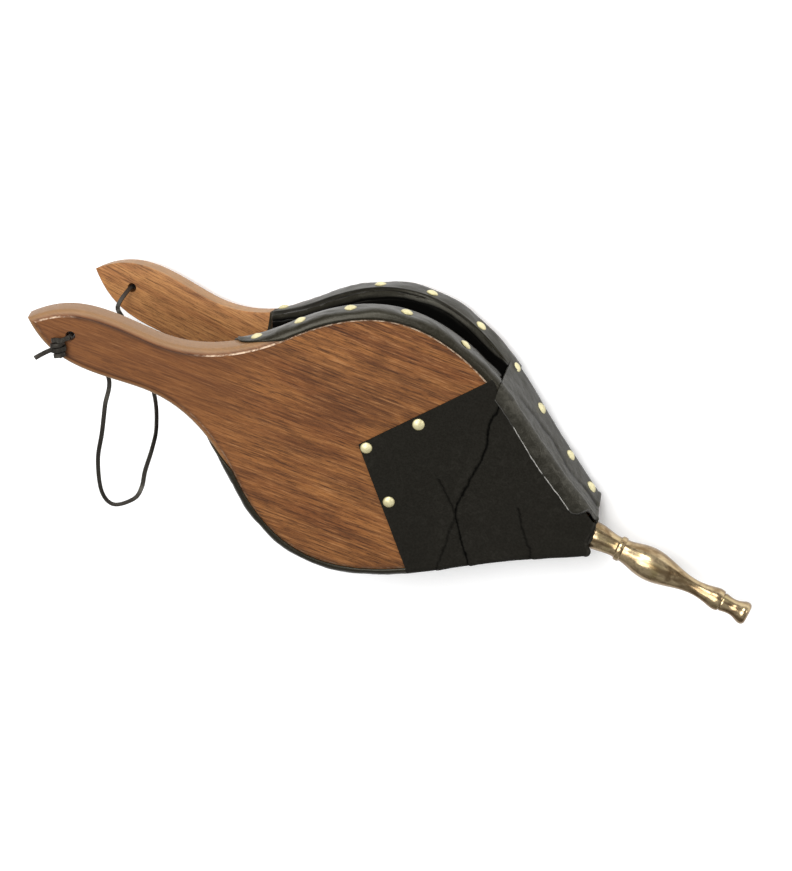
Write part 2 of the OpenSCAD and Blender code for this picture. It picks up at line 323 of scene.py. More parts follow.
def solidify(obj, thickness, rim=0):
    """Gives a sheet its thickness, behind its outer face."""
    modify(obj, "thickness", "SOLIDIFY", thickness=thickness * MM, offset=-1,
           use_quality_normals=True, material_offset_rim=rim)


def finish(obj, slot, material, follows, *nodes):
    """Sets a piece's material and hides its CAD nodes. A piece that follows one body is attached to it;
    for any other, given a share of the upper body's turn at each point, the shares are not used."""
    obj.data.materials.append(material)
    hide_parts(*nodes)
    if isinstance(follows, str):
        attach(obj, follows)
        return
    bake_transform(obj)


# ---- materials
def linear(colour):
    """A screen colour, 0 to 255, as linear RGBA."""
    return (*((v / 255 / 12.92 if v <= 10 else ((v / 255 + 0.055) / 1.055)**2.4) for v in colour), 1)


class Finish:
    """A material built node by node around one Principled shader, from screen colours, 0 to 255."""

    def __init__(self, name):
        self.material = bpy.data.materials.new(name)
        self.material.use_nodes = True
        self.tree = self.material.node_tree
        self.shader = self.tree.nodes["Principled BSDF"]

    def add(self, kind, inputs=(), **settings):
        node = self.tree.nodes.new("ShaderNode" + kind)
        for key, value in settings.items():
            setattr(node, key, value)
        for key, value in dict(inputs).items():
            self.put(node.inputs[key], value)
        return node

    def put(self, socket, value):
        if isinstance(value, bpy.types.NodeSocket):
            self.tree.links.new(value, socket)
        else:
            socket.default_value = linear(value) if socket.type == "RGBA" else value

    def set(self, **inputs):
        for key, value in inputs.items():
            self.put(self.shader.inputs[key.replace("_", " ")], value)
        return self.material

    def value(self, name):
        return self.add("Attribute", attribute_name=name).outputs["Fac"]

    def place(self, name=None, scale=(1, 1, 1)):
        """Coordinates from an attribute or the object's own, scaled."""
        source = self.add("Attribute", attribute_name=name) if name else self.add("TexCoord")
        where = source.outputs["Vector" if name else "Object"]
        return self.add("Mapping", {"Vector": where, "Scale": scale}).outputs["Vector"]

    def noise(self, *settings):
        """Noise by place, scale, detail, roughness and distortion."""
        names = "Vector", "Scale", "Detail", "Roughness", "Distortion"
        return self.add("TexNoise", zip(names, settings)).outputs["Fac"]

    def drawn(self, name, along, across, *settings):
        """Noise that is drawn out along the first axis."""
        return self.noise(self.place(name, (along, across, across)), 1, *settings)

    def ramp(self, value, *stops):
        """Colours or grey values at positions along 0 to 1."""
        node = self.add("ValToRGB", {"Fac": value})
        elements = node.color_ramp.elements
        while len(elements) < len(stops):
            elements.new(0.5)
        for element, (position, colour) in zip(elements, stops):
            element.position = position
            element.color = linear(colour) if isinstance(colour, tuple) else (colour,) * 3 + (1,)
        return node.outputs["Color"]

    def mask(self, value, none, full):
        """0 where the value is at none or beyond it, 1 at full."""
        return self.ramp(value, *sorted([(none, 0), (full, 1)]))

    def math(self, operation, a, b, clamp=False):
        return self.add("Math", {0: a, 1: b}, operation=operation, use_clamp=clamp).outputs[0]

    def mix(self, share, a, b):
        return self.add("Mix", {0: share, 6: a, 7: b}, data_type="RGBA").outputs[2]

    def over(self, colour, mask, share, other):
        """A colour that another one covers, up to a share of it, where the mask says so."""
        return self.mix(self.math("MULTIPLY", mask, share), colour, other)

    def bump(self, *settings):
        """Bump by height, distance, strength and the bump under it."""
        names = "Height", "Distance", "Strength", "Normal"
        return self.add("Bump", zip(names, settings)).outputs["Normal"]


def wood(name, light, mid, dark, streak, pale):
    """Stained hardwood. grain holds (u, y, w); side marks the pale edges; rim marks the step's worn line and
    its painted highlight; groove gives the step's painted shade.
    """
    f = Finish(name)
    broad = f.drawn("grain", 7, 60, 4, 0.6, 0.6)
    bands = f.drawn("grain", 16, 300, 6, 0.7, 0.5)
    clouds = f.drawn("grain", 22, 46, 4, 0.6, 0.8)
    fine = f.drawn("grain", 50, 1000, 7, 0.75, 0.3)
    pores = f.drawn("grain", 220, 1700, 4, 0.7)
    ragged = f.drawn("grain", 260, 260, 4, 0.7)
    colour = f.ramp(broad, (0.36, mid), (0.52, light), (0.66, mid))
    for mask, share, cover in (
            (f.mask(clouds, 0.56, 0.34), 0.45, dark),
            (f.ramp(bands, (0.36, 1), (0.5, 0.25), (0.62, 0)), 0.52, dark),
            (f.mask(fine, 0.52, 0.38), 0.85, streak),
            (f.mask(pores, 0.43, 0.32), 0.75, streak),
            (f.mask(fine, 0.55, 0.7), 0.7, f.mix(0.45, light, (206, 158, 110)))):
        colour = f.over(colour, mask, share, cover)
    colour = f.mix(f.value("handled"), colour, f.mix(0.5, mid, dark))
    colour = f.over(colour, f.value("side"), 0.9, f.mix(0.6, colour, pale))
    # Painted highlight: the step's pale worn line is made brighter where the light catches it.
    line = f.math("MULTIPLY", f.value("rim"), f.ramp(ragged, (0.42, 0.1), (0.58, 1)), clamp=True)
    colour = f.mix(line, colour, (214, 190, 164))
    # Painted shade: dark brown along the step and just inside it.
    colour = f.mix(f.math("MULTIPLY", f.value("groove"), 0.7, clamp=True), colour, (48, 30, 20))
    under = f.bump(fine, 0.00012, 0.5)
    return f.set(Base_Color=colour, Roughness=f.ramp(bands, (0.3, 0.55), (0.7, 0.42)),
                 Normal=f.bump(pores, 0.0001, 0.4, under), Specular_IOR_Level=0.25)


def leather(name, dark, light, rough, shine, wear, grain=1):
    """Leather: small cell grain, soft creases, paler rubbed places, and painted shade, near black and
    without reflection, where creases and folds are marked.
    """
    f = Finish(name)
    where = f.place()
    soft = f.noise(where, 45, 5, 0.6, 0.3)
    patches = f.noise(where, 14, 4, 0.55)
    scuffs = f.noise(where, 160, 6, 0.75, 1.2)
    wrinkle = f.noise(where, 95, 3, 0.5, 1.5)
    grit = f.noise(where, 800, 3, 0.7)
    cells = f.add("TexVoronoi", {"Vector": where, "Scale": 1150}).outputs["Distance"]
    worn = f.mix(0.6, light, (138, 134, 124))
    colour = f.over(dark, soft, 0.6, light)
    rubbed = f.math("MULTIPLY", f.mask(scuffs, 0.5, 0.72), f.mask(patches, 0.42, 0.62))
    scratched = f.math("MULTIPLY", f.value("rub"), f.ramp(scuffs, (0.42, 0.1), (0.6, 1)))
    rub_share = f.math("ADD", f.math("MULTIPLY", rubbed, wear), scratched, clamp=True)
    colour = f.mix(rub_share, colour, worn)
    colour = f.over(colour, f.mask(grit, 0.38, 0.62), 0.03, worn)
    # Painted shade: near black where a crease or fold is marked, with its reflection taken away.
    deep = f.math("MULTIPLY", f.value("crease"), 1, clamp=True)
    colour = f.over(colour, deep, 0.94, (5, 5, 5))
    under = f.bump(soft, 0.0008 * grain, 0.35)
    folded = f.bump(wrinkle, 0.0006 * grain, 0.25, under)
    return f.set(Base_Color=colour, Normal=f.bump(cells, 0.00012 * grain, 0.5, folded),
                 Roughness=f.math("ADD", f.math("MULTIPLY", soft, 0.18), rough - 0.06),
                 Specular_IOR_Level=f.math("MULTIPLY", f.math("SUBTRACT", 1, deep), shine),
                 Specular_Tint=(255, 250, 232))


def raw_edge():
    """Pared edge of the hide: pale as a painted highlight where lit says so, dark dyed elsewhere."""
    f = Finish("raw_leather_edge")
    fibres = f.noise(f.place(), 700, 4, 0.7)
    pale = f.ramp(fibres, (0.35, (112, 110, 104)), (0.6, (206, 204, 198)))
    dyed = f.ramp(fibres, (0.35, (26, 25, 23)), (0.6, (58, 56, 52)))
    return f.set(Base_Color=f.mix(f.value("lit"), dyed, pale), Roughness=0.8,
                 Normal=f.bump(fibres, 0.0003, 0.6), Specular_IOR_Level=0.2)


def brass(name, bright, brown, green, rough, patina_and_flank_shade, metal):
    """Brass under patina, with fine turning marks round the X axis, painted shade on the flanks and painted
    shade at a tack's rim.
    """
    f = Finish(name)
    where = f.place()
    clouds = f.noise(where, 120, 5, 0.6, 0.4)
    specks = f.noise(where, 900, 4, 0.6)
    drawn = f.drawn(None, 22, 150, 4, 0.6, 0.2)
    turned = f.drawn(None, 2600, 30, 2, 0.5)
    facing = f.add("LayerWeight", {"Blend": 0.35}).outputs["Facing"]
    tone = f.ramp(clouds, (0.35, brown), (0.52, bright), (0.68, green))
    colour = f.mix(patina_and_flank_shade, bright, tone)
    colour = f.over(colour, f.mask(drawn, 0.54, 0.42), patina_and_flank_shade, brown)
    colour = f.over(colour, f.mask(specks, 0.42, 0.3), 0.5, brown)
    # Painted shade at the edge of a tack's dome and under its rim.
    colour = f.mix(f.ramp(f.value("ring"), (0.8, 0), (1, 0.75)), colour, brown)
    # Painted shade: brown on the flanks, where the surface turns away from the camera.
    flank = f.math("MULTIPLY", f.mask(facing, 0.12, 0.5), patina_and_flank_shade)
    colour = f.over(colour, flank, 0.9, brown)
    under = f.bump(turned, 0.00005, 0.4)
    return f.set(Base_Color=colour, Metallic=metal, Normal=f.bump(clouds, 0.0001, 0.25, under),
                 Roughness=f.math("ADD", f.math("MULTIPLY", clouds, 0.16), rough - 0.08))


def steel():
    f = Finish("screw_steel")
    marks = f.noise(f.place(), 1500, 4, 0.6)
    return f.set(Base_Color=f.ramp(marks, (0.35, (120, 120, 122)), (0.65, (190, 190, 192))),
                 Metallic=1, Roughness=0.38, Normal=f.bump(marks, 0.0001, 0.4))


WOOD = wood(
    "walnut_board", (147, 96, 51), (117, 71, 37), (75, 44, 24), (46, 26, 16), (150, 120, 86))
# Painted light: the lower board's walnut is made lighter than the upper board's, as its inner face is lit
# more.
WOOD_BACK = wood(
    "walnut_back_board", (180, 128, 76), (156, 104, 60), (126, 80, 46), (78, 48, 29), (152, 124, 90))
WOOD_BARE = wood(
    "bare_hardwood", (206, 170, 124), (190, 150, 104), (160, 118, 76), (120, 84, 50), (214, 186, 150))
GUSSET_HIDE = leather("gusset_hide", (15, 13, 7), (34, 30, 17), 0.33, 0.33, 0.14)
APRON_HIDE = leather("apron_hide", (16, 15, 12), (24, 22, 18), 0.75, 0.12, 0.05, 0.5)
WRAP_HIDE = leather("wrap_hide", (13, 12, 8), (36, 34, 26), 0.4, 0.35, 0.18, 1.4)
VALVE_HIDE = leather("valve_hide", (92, 62, 40), (128, 92, 62), 0.65, 0.3, 0.2)
LACE_HIDE = leather("lace_hide", (14, 11, 10), (36, 30, 27), 0.42, 0.5, 0.25, 0.6)
RAW_EDGE = raw_edge()
NOZZLE_BRASS = brass(
    "antique_brass", (198, 177, 140), (106, 84, 56), (166, 151, 104), 0.24, 0.8, 0.9)
TACK_BRASS = brass(
    "tack_brass", (224, 216, 172), (146, 134, 86), (206, 198, 144), 0.42, 0.25, 0.35)
STEEL = steel()


# ---- boards
def board_profile():
    """Edge of a board from the inner face to the outer face, as inset and w."""
    inner_r = 0.8
    drop = EDGE_R - SHOULDER
    run = [(inner_r * (1 - sin(a)), inner_r * (1 - cos(a))) for a in np.radians([0, 30, 60, 90])]
    run += [(EDGE_R * (1 - cos(a)), FLAT_T + drop * sin(a)) for a in np.radians(range(0, 91, 13))]
    run += [(EDGE_R + 0.05, FLAT_T + drop), (EDGE_R + 0.15, BOARD_T - 0.1)]
    run += [(EDGE_R + past, BOARD_T) for past in (0.35, 0.5, 0.9, 2.4)]
    return run


def board(name, u0, u1):
    """Board between two places along its length, in (u, y, w), with its edge rounded."""
    near_tip = u0 + np.array([0, 0.4, 0.8, 1.3, 2, 3, 4.2, 5.6]) if u0 == 0 else [u0]
    us = np.hstack([near_tip, np.arange(max(near_tip) + 2, u1 - 1, 2.4), [u1]])
    profile = board_profile()
    rows = []
    for inset, w in profile:
        apex = inset * hypot(1, 1 / TIP_SLOPE) if u0 == 0 else u0
        u = np.maximum(us, apex)
        y = np.maximum(side_y(u, inset), 0)
        rows.append(stack(np.hstack([u, u[::-1]]), np.hstack([y, -y[::-1]]), w))
    obj = add_mesh(name, rows, tube(len(profile), 2 * len(us)), EDGE_SHARP)
    tidy(obj, 0.002)
    return obj


def prism(ring, low, high, axis=2):
    """Closed solid over a ring of points, between two places along the axis across them."""
    points = [p[:axis] + (at,) + p[axis:] for at in (low, high) for p in ring]
    return points, tube(2, len(ring))


def hole(u, radius, count):
    """Round hole through a board."""
    ring = [(u + radius * cos(a), radius * sin(a)) for a in angles(count)]
    return prism(ring, -1, BOARD_T + 1)


def rebate(u0, u1):
    """Step in the outer face that the hinge leather lies in."""
    ring = [(u0, -STRIP_HALF), (u1, -STRIP_HALF), (u1, STRIP_HALF), (u0, STRIP_HALF)]
    return prism(ring, BOARD_T - REBATE_T, BOARD_T + 5)


def wedge(ring):
    """Solid across the whole width over a ring of (u, w) points."""
    return prism(ring, -120, 120, axis=1)


def cut(obj, *shapes):
    for points, faces in shapes:
        tool = add_mesh(obj.name + "_cut", points, faces)
        tidy(tool, 0.002)
        modify(obj, "cut", "BOOLEAN", object=tool, operation="DIFFERENCE", solver="EXACT")
        graph = bpy.context.evaluated_depsgraph_get()
        mesh = bpy.data.meshes.new_from_object(obj.evaluated_get(graph))
        obj.modifiers.clear()
        obj.data = mesh
        bpy.data.objects.remove(tool)


def finish_board(obj, place, body, node, material, grain_shift, handled=0):
    """Moves a board from (u, y, w) to its place and marks its grain and edges."""
    mesh = obj.data
    flat = np.array([v.co for v in mesh.vertices]) / MM
    u, y, w = flat.T
    inset = (edge(u)[0] - np.abs(y)) / np.sqrt(1 + edge(u)[1]**2)
    on_edge = smooth((EDGE_R * 0.8 - inset) / 1.5) * (w > 0.4)
    on_face = w > BOARD_T - SHOULDER - 0.1
    at_line = (np.abs(inset - EDGE_R - 0.2) < 0.25) * on_face
    beside = (np.abs(inset - EDGE_R - 0.5) < 0.6) * on_face
    # The step's line is pale worn wood with a painted highlight: pale near the tip, along the belly and
    # mostly on the lit +Y side; between them the step and the strip beside it get painted shade.
    worn = np.maximum(smooth((30 - u) / 12), smooth((u - 98) / 14)) * np.where(y > 0, 1, 0.35)
    store(obj, grain=(flat + grain_shift) * MM, side=on_edge, rim=at_line * worn,
               groove=np.maximum(at_line, 0.7 * beside) * (1 - worn),
               handled=handled * smooth((170 - u) / 70))
    mesh.vertices.foreach_set("co", (place(u, y, w) * MM).astype(np.float32).ravel())
    mesh.update()
    tidy(obj)
    shade_edges(mesh, EDGE_SHARP)
    finish(obj, "wood", material, body, node)


def make_boards():
    far, low, high = 80, -60, 60  # well outside the wood
    lace_hole = hole(HOLE_U, HOLE_R, 48)
    lower = board("lower_board_wood", 0, BOARD_LEN + NOSE_OVER)
    end = [(nose_end(-BLOCK_T / 2 - w) - TIP_X, w) for w in (low, high)]
    end += [(end[1][0] + far, w) for w in (high, low)]
    cut(lower, lace_hole, hole(INLET_U, INLET_R, 72), wedge(end))
    finish_board(lower, on_lower, "base", "lower_board", WOOD_BACK, (900, 37, 11))
    upper = board("upper_board_wood", 0, HINGE_U - KERF)
    cut(upper, lace_hole, rebate(HINGE_U - REBATE_BACK, HINGE_U + 5))
    finish_board(upper, on_upper, "upper", "upper_board", WOOD, (0, 4, 3), 0.6)
    # The cap is a wedge, cut behind the hinge line, level with the block and along the nose's end.
    cap = board("nose_cap_wood", HINGE_U - BOARD_T, BOARD_LEN + NOSE_OVER)
    level = BLOCK_T / 2
    behind = [(HINGE_X + x, z) for x, z in ((0, low), (0, high), (-far, high), (-far, low))]
    under = [(HINGE_X + x, z) for x, z in ((-far, low), (2 * far, low), (2 * far, level), (-far, level))]
    ahead = [(nose_end(low), low), (far, low), (far, high), (nose_end(high), high)]
    sides = [wedge([cap_place(x, z) for x, z in ring]) for ring in (behind, under, ahead)]
    cut(cap, rebate(HINGE_U - 2 * BOARD_T, HINGE_U + REBATE_FRONT), *sides)
    finish_board(cap, on_cap, "base", "nose_cap", WOOD, (0, 4, 3))


# ---- tacks
def islands(node):
    """Points of each separate solid in a CAD node, in millimetres."""
    mesh = frame["nodes"][node].data
    points = np.array([v.co for v in mesh.vertices]) / MM
    spots, spot = np.unique(np.round(points, 2), axis=0, return_inverse=True)
    ends = spot.ravel()[np.array([e.vertices[:] for e in mesh.edges])]
    group, before = np.arange(len(spots)), None
    while not np.array_equal(group, before):
        before = group.copy()
        for side in ends.T:
            np.minimum.at(group, side, before[ends].min(1))
    solids = [points[group[spot.ravel()] == g] for g in np.unique(group)]
    return sorted(solids, key=lambda solid: tuple(solid.mean(0)))


def tack_axis(points):
    """Top of a tack's dome and the direction it points, from its CAD solid."""
    tip = points[np.argmax(np.linalg.norm(points - points.mean(0), axis=1))]
    top = points[np.argmax(np.linalg.norm(points - tip, axis=1))]
    return top, unit(top - tip)


def tack_places(*nodes):
    return [tack_axis(solid)[0] for node in nodes for solid in islands(node)]


def dome(base, axis, radius, height):
    """Points, faces and how far out each point is, for a dented head with a rolled rim and a shank."""
    count, arc = 28, 7
    side = unit(np.cross(axis, (0.3, 0.9, 0.2)))
    other = np.cross(axis, side)
    ball = (radius**2 + height**2) / (2 * height)
    rim = asin(radius / ball)
    turns = [rim * k / arc for k in range(1, arc + 1)]
    run = [(ball * sin(a), height - ball * (1 - cos(a))) for a in turns]
    run += [(radius * 1.01, -0.12), (radius * 0.95, -0.3), (0.9, -0.3), (0.8, -3)]
    dents = [(DICE.uniform(0, 2 * pi), DICE.uniform(0.3, 0.9), DICE.uniform(0.02, 0.07))
             for _ in range(6)]
    tilt = DICE.uniform(-0.05, 0.05), DICE.uniform(-0.05, 0.05)
    points = [base + axis * height]
    for r, z in run:
        for a in angles(count):
            x, y = r * cos(a), r * sin(a)
            drop = sum(depth * exp(-((x / radius - share * cos(b))**2
                                     + (y / radius - share * sin(b))**2) / 0.06)
                       for b, share, depth in dents) if z > 0 else 0
            lean = tilt[0] * x + tilt[1] * y
            points.append(base + side * x + other * y + axis * (z - drop + lean))
    faces = [(0, 1 + k, 1 + (k + 1) % count) for k in range(count)]
    faces += grid(len(run), count, wrap=True, start=1)
    faces.append(tuple(range(len(points) - count, len(points)))[::-1])
    out = [min(r / radius, 1) if z > -0.5 else 1 for r, z in run]
    return points, faces, [0] + list(np.repeat(out, count))


def make_tacks(node, body, radius=3.8, height=1.6, stands=2, lean=0):
    """Domed tacks at the places of a CAD node's tacks."""
    points, faces, rings = [], [], []
    for solid in islands(node):
        top, axis = tack_axis(solid)
        base = top - axis * stands
        axis = unit(axis + (0, 0, lean))
        more, new, ring = dome(base, axis, radius * DICE.uniform(0.97, 1.03), height)
        faces += [tuple(len(points) + i for i in face) for face in new]
        points += more
        rings += ring
    obj = add_mesh(node + "_brass", points, faces, 50)
    # ring marks each tack's rim for its painted shade.
    store(obj, ring=rings)
    tidy(obj)
    finish(obj, "tack_brass", TACK_BRASS, body, node)


# ---- gusset
def band_rows(place, us, sign, widths, reaches, tacks):
    """Leather round a board's edge: a row per u, from its outer cut to the inner edge."""
    u = us[:, None]
    reach = widths[:, None] * reaches

    def laid(off):
        inset, w = round_edge(reach, off)
        return place(u, sign * side_y(u, inset), w)

    points = laid(HIDE)
    across = np.sin(pi * reaches)
    swell = 1.4 * across * (1 - hump(nearest(points, tacks), 10))
    ripple = 0.45 * uneven(points * (0.35, 1, 1), 8, 3, 5) * across
    return laid(HIDE + np.maximum(swell + ripple, -0.1))


def make_gusset():
    side_rows, neck_rows, band_cols, fold_cols = 150, 34, 15, 64
    tongue = 2.5  # flange glued to the inner face at the waist
    neck_bow = 5  # how far the neck's line bows towards the nozzle
    full = FLAT_T + (EDGE_R + HIDE) * BAND_TURN
    share = np.linspace(0, 1, side_rows)
    q = np.linspace(1, -1, neck_rows + 2)[1:-1]
    reaches = np.linspace(1, 0, band_cols)
    bands, plans = {}, {}
    for which, place in (("lower", on_lower), ("upper", on_upper)):
        start = BAND_START[which]
        us = GUSSET_END - (GUSSET_END - start) * share
        grown = np.sqrt(np.clip((us - start) / BAND_RAMP, 0, 1))
        width = BAND_LEAST + (full - BAND_LEAST) * grown
        tacks = tack_places("edge_tacks_" + which)
        near_side, far_side = (band_rows(place, us, sign, width, reaches, tacks) for sign in (1, -1))
        y0 = float(side_y(start, -HIDE))
        neck_u = start + neck_bow * (1 - q**2)
        flange = (BAND_LEAST + (tongue - BAND_LEAST) * np.sqrt(1 - q**2))[:, None] * reaches
        neck = place(neck_u[:, None] - flange, (q * y0)[:, None], -HIDE * 0.9)
        bands[which] = np.vstack([near_side, neck, far_side[::-1]])
        slope = edge(us)[1]
        inward = stack(slope, -1, 0) / np.sqrt(1 + slope**2)[:, None]
        mirrored = (inward * (1, -1, 1))[::-1]
        plans[which] = np.vstack([inward, np.tile([1, 0, 0], (neck_rows, 1)), mirrored])
    low, high = bands["lower"][:, -1], bands["upper"][:, -1]
    run = lengths(low)
    near = hump(run[:, None] - run[None, :], 16)

    def evened(values):
        """Values averaged with their neighbours along the run."""
        return near @ values / near.sum(1)[:, None]

    inward = unit(evened((plans["lower"] + plans["upper"]) / 2))
    gap = np.linalg.norm(high - low, axis=1)
    narrow = np.minimum(gap / 30, 1)[:, None]  # folds are lower where the boards come together
    # The fold goes in between the boards, deepest halfway up.
    t = np.linspace(0, 1, fold_cols)
    ridge = 2 * np.minimum(t, 1 - t)
    blunt = 0.0009  # keeps the fold's inner edge round
    shape = np.clip(1 - np.sqrt((1 - ridge)**2 + blunt), 0, 1)**1.3
    room = np.abs(low[:, 1])
    at_neck = smooth((18 - room) / 8) + smooth((low[0, 0] - low[:, 0] - 140) / 12)
    most = np.maximum(0.72 * room, 22 * np.clip(at_neck, 0, 1))
    # At the hinge the wall runs straight up from board to board, over the block's sides.
    end = smooth((GUSSET_END - 4 - us) / 14)
    taper = np.hstack([end, np.ones(neck_rows), end[::-1]])[:, None]
    depth = evened(np.minimum(0.56 * gap, most)[:, None]) * taper
    fold = low[:, None] * (1 - t)[:, None] + high[:, None] * t[:, None]
    fold = fold + inward[:, None] * (depth * shape)[..., None]
    # Pleats gather at the waist's two corners; long soft creases run along the sides.
    corners = run[side_rows], run[side_rows + neck_rows]
    at_corner = sum(hump(run - corner, 24) for corner in corners)[:, None]
    body = np.sin(pi * t)**0.8
    pleats = np.sin(run / 2.6 + 2.5 * np.sin(run / 9))[:, None] * np.sin(pi * t)
    creases = uneven(stack(run[:, None] / 5, t * 40, 0), 9, 4, 2)
    # Parallel folds lie along each board, where the hide is turned in.
    waver = 1.3 * uneven(stack(run / 3, 0, 0), 12, 2, 7)[:, None]
    parallel = np.sin(2 * pi * ridge / 0.16 + waver) * hump(ridge - 0.22, 0.16) * narrow
    lift = ((1.3 * at_corner * pleats + 2 * creases) * body + 1.1 * parallel) * taper
    fold = fold - inward[:, None] * lift[..., None]
    fold[..., 2] += 0.8 * at_corner * np.cos(run / 2.6)[:, None] * body
    sheet = np.hstack([bands["lower"], fold[:, 1:-1], bands["upper"][:, ::-1]])
    obj = add_mesh("gusset_leather", sheet, grid(*sheet.shape[:2], flip=True), 60)
    # The fold gets painted shade: dark inside, with fine dark lines where the hide turns in and darker
    # troughs between its parallel folds; the painted shade is weaker round the neck and behind.
    shade = smooth((ridge - 0.14) / 0.24) + 0.75 * np.maximum(-parallel, 0)
    for at in (0.065, 0.15):
        shade = shade + 0.7 * hump(ridge - at - 0.01 * waver, 0.02) * narrow
    behind = 0.3
    round_neck = np.linspace(1, behind, neck_rows)
    shade *= np.hstack([np.ones(side_rows), round_neck, np.full(side_rows, behind)])[:, None]
    plain = np.zeros((len(sheet), band_cols))
    store(obj, crease=np.hstack([plain, shade[:, 1:-1], plain]))
    solidify(obj, HIDE - 0.1)
    shares = np.hstack([np.zeros(band_cols), t[1:-1], np.ones(band_cols)])
    finish(obj, "gusset_leather", GUSSET_HIDE, np.tile(shares, len(sheet)),
                 "gusset_wall", "gusset_edge_lower", "gusset_edge_upper")


# ---- apron, hinge strip and wrap
# Creases of the apron as (u, y) runs: a long one over the hinge, and three short ones.
CREASES = (
    ((278, 70), (285, 59), (284, 44), (288, 27), (287, 5), (286, -11), (288, -21), (295, -32), (309, -50)),
    ((269, -3), (290, -23)),
    ((288, -22), (291, -68)),
    ((321, 0), (347, -36)),
)


def crease_field(u, y):
    """Height of the folds beside the creases, and how deep in a crease a point is."""
    lift, line = np.zeros(u.shape), np.zeros(u.shape)
    stray = uneven(stack(u, y, 0), 5, 3, 12)
    u, y = u + 0.8 * stray, y + 0.5 * stray
    for n, run in enumerate(CREASES):
        run = catmull(run, 8) if len(run) > 2 else np.array(run, float)
        best = np.full(u.shape, 1e9)
        signed = np.zeros(u.shape)
        for a, b in zip(run[:-1], run[1:]):
            d = b - a
            along = np.clip(((u - a[0]) * d[0] + (y - a[1]) * d[1]) / (d @ d), 0, 1)
            dx, dy = u - a[0] - along * d[0], y - a[1] - along * d[1]
            distance = np.hypot(dx, dy)
            closer = distance < best
            best = np.where(closer, distance, best)
            signed = np.where(closer, np.sign(d[0] * dy - d[1] * dx) * distance, signed)
        strength = 1 if n == 0 else 0.6
        lift += strength * np.where(signed > 0, np.exp(-signed / 7), 0) * hump(best, 14)
        lift -= strength * 0.7 * hump(best, 0.8)
        line = np.maximum(line, strength * hump(best, 0.75))
    return lift, line


def face_place(u, reach, off):
    """(y, w) on a board's face and edge at a distance reach from its middle line."""
    flat = side_y(u, EDGE_R)
    radius = EDGE_R + off
    past = np.maximum(np.abs(reach) - flat, 0)
    turn = np.clip(past / (EDGE_R + LAYER), 0, pi / 2)
    inset = EDGE_R - radius * np.sin(turn)
    y = np.where(past > 0, side_y(u, inset), np.abs(reach))
    edge_w = FLAT_T + radius * np.cos(turn) - np.maximum(past - QUARTER, 0)
    return np.sign(reach) * y, np.where(past > 0, edge_w, BOARD_T + off)


def sloped(u, z):
    """u of a place on the nose, whose end slopes back from the upper face to the lower one."""
    back = np.clip((u - SLOPE_FROM) / (BOARD_LEN - SLOPE_FROM), 0, 1)
    return u - NOSE_SLANT * (NOSE_TOP - z) * back


def hold_down(points, *nodes):
    """1 within 5 mm of a tack, 0 beyond 11 mm."""
    return smooth((11 - nearest(points, tack_places(*nodes))) / 6)


def nose_rows(last, collar, stand):
    """Rows that turn a sheet over the nose's end and run in to a collar round the nozzle."""
    turn_rows, face_rows = 4, 7
    tall = hypot(1, NOSE_SLANT)
    normal = np.array([1, 0, -NOSE_SLANT]) / tall
    inward = (nose_end(0), 0, 0) - last
    inward = unit(inward - (inward @ normal)[:, None] * normal)
    rows = []
    for k in range(1, turn_rows + 1):
        a = pi / 2 * k / turn_rows
        rows.append(last + normal * stand * sin(a) + inward * LAYER * (1 - cos(a)))
    front = rows[-1]
    angle = np.arctan2(front[:, 2], front[:, 1])
    y, z = collar * np.cos(angle), collar * np.sin(angle)
    ring = stack(nose_end(z) + stand * tall, y, z)
    rows += [front + (ring - front) * k / face_rows for k in range(1, face_rows + 1)]
    return np.array(rows)


def make_apron():
    half_cols, rows = 130, 260
    short_skirt, long_skirt = 4, 15  # how far the leather goes down round the edge
    collar, stand = 9.6, 2.9
    us = np.linspace(APRON_U, BOARD_LEN, rows)[:, None]
    share = np.linspace(-1, 1, 2 * half_cols + 1)
    skirt = short_skirt + (long_skirt - short_skirt) * smooth((us - 272) / 16) * (share < 0)

    def laid(u, off):
        """The sheet's places across and up, at a height off above the wood."""
        reach = np.minimum(side_y(u, EDGE_R) + skirt, (us - APRON_U) * APRON_SLOPE + 0.15) * share
        return reach, *face_place(u, reach, off)

    u = us + 0 * share
    reach, y, w = laid(u, LAYER)
    # The skirt hangs almost straight down past the sloping end.
    u = sloped(u, np.clip(on_cap(u, y, w)[..., 2], NOSE_TOP - 6, NOSE_TOP))
    reach, y, w = laid(u, LAYER)
    past = np.maximum(np.abs(reach) - side_y(u, EDGE_R), 0)
    lift, line = crease_field(u, y)
    flat = stack(u, y, 0)
    ripple = 0.3 * uneven(flat, 45, 3, 1) + 0.1 * uneven(flat, 9, 3, 8)
    lift *= smooth((12 - past) / 10)
    over_wrap = 1.3 * smooth((past - 9) / 3) * (share < 0)
    off = LAYER + SECOND * smooth(past / 4) + over_wrap + np.maximum(lift, -1) * 0.9 + ripple
    reach, y, w = laid(u, off)
    hold = hold_down(on_top(u, y, w), "apron_tacks")
    reach, y, w = laid(u, off * (1 - hold) + LAYER * hold)
    # The cut corner beside the nozzle stands out past the nose.
    corner = smooth((us - 330) / (BOARD_LEN - 330)) * smooth((-y - 2) / 8)
    rest = on_top(u, y, w) + corner[..., None] * (4.5, 1.2, 0)
    ends = nose_rows(rest[-1], collar, stand)
    sheet = np.vstack([rest, ends])
    obj = add_mesh("apron_leather", sheet, grid(*sheet.shape[:2], flip=True), 60)
    pad = np.zeros(ends.shape[:2])
    # The crease lines get painted shade.
    store(obj, crease=np.vstack([line, pad]), rub=np.vstack([0 * line, pad + 0.1]))
    solidify(obj, HIDE)
    shares = 1 - smooth((u - (HINGE_U - 5)) / 10)
    finish(obj, "apron_leather", APRON_HIDE, np.vstack([shares, pad]), "apron")


